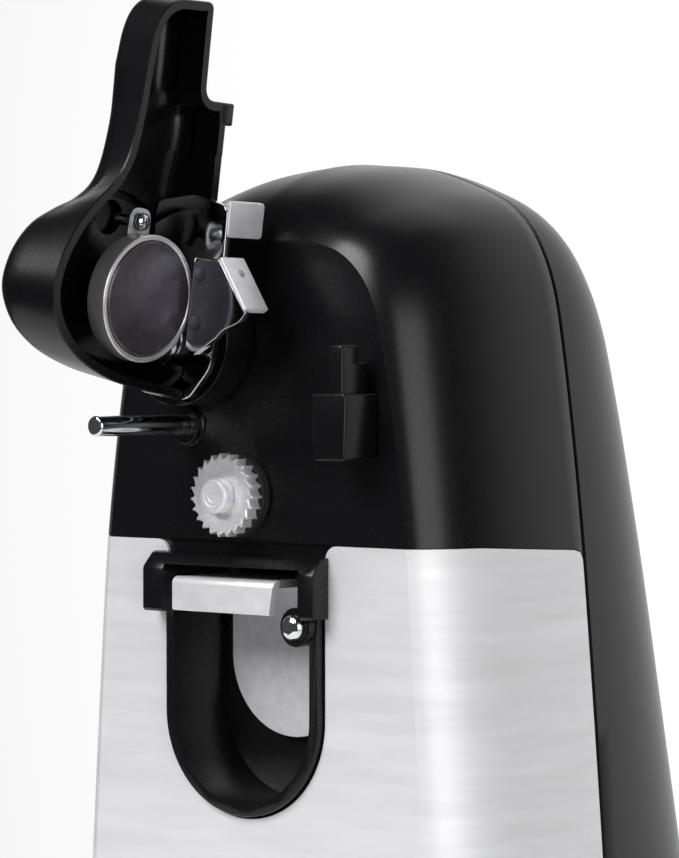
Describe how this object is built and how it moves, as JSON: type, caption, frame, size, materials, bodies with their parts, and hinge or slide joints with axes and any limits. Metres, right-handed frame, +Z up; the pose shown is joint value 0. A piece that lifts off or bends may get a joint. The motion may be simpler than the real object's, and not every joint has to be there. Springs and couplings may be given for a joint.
{
  "type": "electric can opener",
  "caption": "Upright electric can opener with a toothed drive wheel, raised cutter lever with lid magnet, steel front skin and a built-in bottle opener.",
  "frame": {"origin": "centre of the bounding box's base, on the table under the feet", "axes": "+Z up, the working front with wheel and lever faces -Y, +X to the right seen from the front"},
  "size_m": [0.1312, 0.1668, 0.2572],
  "materials": {
    "black_plastic": "satin moulded ABS",
    "brushed_steel": "fine horizontal brushing",
    "bright_steel": "polished stamped steel",
    "chrome": "mirror plating",
    "nickel": "bright nickel plating",
    "ferrite": "dark magnet face",
    "rubber": "matt rubber",
    "nylon": "natural moulded nylon",
    "zinc_steel": "zinc plated steel",
    "lamination": "stacked steel laminations",
    "copper": "enamelled copper winding",
    "brass": "turned brass"
  },
  "bodies": {
    "housing": {"base_plate": "black_plastic", "base_screw_1": "zinc_steel", "base_screw_2": "zinc_steel", "base_screw_3": "zinc_steel", "base_screw_4": "zinc_steel", "bottle_opener_plate": "bright_steel", "can_guide_pin": "chrome", "cord_gland": "rubber", "drive_bush": "brass", "foot_1": "rubber", "foot_2": "rubber", "foot_3": "rubber", "foot_4": "rubber", "front_housing": "black_plastic", "gear_axle_1": "zinc_steel", "gear_axle_2": "zinc_steel", "gear_plate": "zinc_steel", "housing_screw_1": "zinc_steel", "housing_screw_2": "zinc_steel", "microswitch": "black_plastic", "motor_bracket_front": "zinc_steel", "motor_bracket_rear": "zinc_steel", "motor_coil": "copper", "motor_screw_1": "zinc_steel", "motor_screw_2": "zinc_steel", "motor_stator": "lamination", "opener_pocket": "black_plastic", "opener_screw": "chrome", "plate_screw_1": "zinc_steel", "plate_screw_2": "zinc_steel", "plunger_spring": "zinc_steel", "rear_housing": "black_plastic", "steel_front_panel": "brushed_steel", "switch_block": "black_plastic"},
    "lever": {"lever_hub": "black_plastic", "lever_spindle": "bright_steel", "lever_cover": "black_plastic", "lever_plate": "bright_steel", "cutter_blade": "bright_steel", "blade_rivet_1": "bright_steel", "blade_rivet_2": "bright_steel", "magnet_screw": "chrome"},
    "magnet": {"magnet_arm": "zinc_steel", "magnet_cup": "nickel", "lid_magnet": "ferrite"},
    "plunger": {"switch_plunger": "black_plastic"},
    "spindle": {"drive_gear": "nylon", "drive_spindle": "bright_steel", "drive_wheel": "bright_steel"},
    "second_gear": {"second_gear": "nylon"},
    "first_gear": {"first_gear": "nylon"},
    "motor": {"motor_rotor": "lamination", "motor_shaft": "bright_steel", "motor_pinion": "brass", "motor_fan": "nylon"}
  },
  "joints": [
    {"name": "lever_swing", "type": "hinge", "parent": "housing", "child": "lever", "pos_m": [-0.014, -0.0266, 0.186], "axis": [0, 1, 0], "range_deg": [0, 82]},
    {"name": "magnet_tilt", "type": "hinge", "parent": "lever", "child": "magnet", "pos_m": [-0.00769, -0.0538, 0.21006], "axis": [0, 1, 0], "range_deg": [-3, 3], "stiffness_Nm_per_rad": 0.5},
    {"name": "plunger_press", "type": "slide", "parent": "housing", "child": "plunger", "axis": [0, 0, -1], "range_m": [0, 0.0065], "deforming": ["plunger_spring"]},
    {"name": "motor_spin", "type": "hinge", "parent": "housing", "child": "motor", "pos_m": [0.00526, 0.0034, 0.08069], "axis": [0, 1, 0], "continuous": true},
    {"name": "first_gear_spin", "type": "hinge", "parent": "housing", "child": "first_gear", "pos_m": [-0.00488, 0.0034, 0.10679], "axis": [0, 1, 0], "continuous": true},
    {"name": "second_gear_spin", "type": "hinge", "parent": "housing", "child": "second_gear", "pos_m": [0.01641, 0.0034, 0.12792], "axis": [0, 1, 0], "continuous": true},
    {"name": "spindle_spin", "type": "hinge", "parent": "housing", "child": "spindle", "pos_m": [-0.0039, 0.0034, 0.152], "axis": [0, 1, 0], "continuous": true}
  ],
  "couplings": [
    {"joint": "plunger_press", "follows": "lever_swing", "m_per_rad": 0.004541},
    {"joint": "first_gear_spin", "follows": "motor_spin", "ratio": -0.16667},
    {"joint": "second_gear_spin", "follows": "motor_spin", "ratio": 0.041667},
    {"joint": "spindle_spin", "follows": "motor_spin", "ratio": -0.020833}
  ]
}
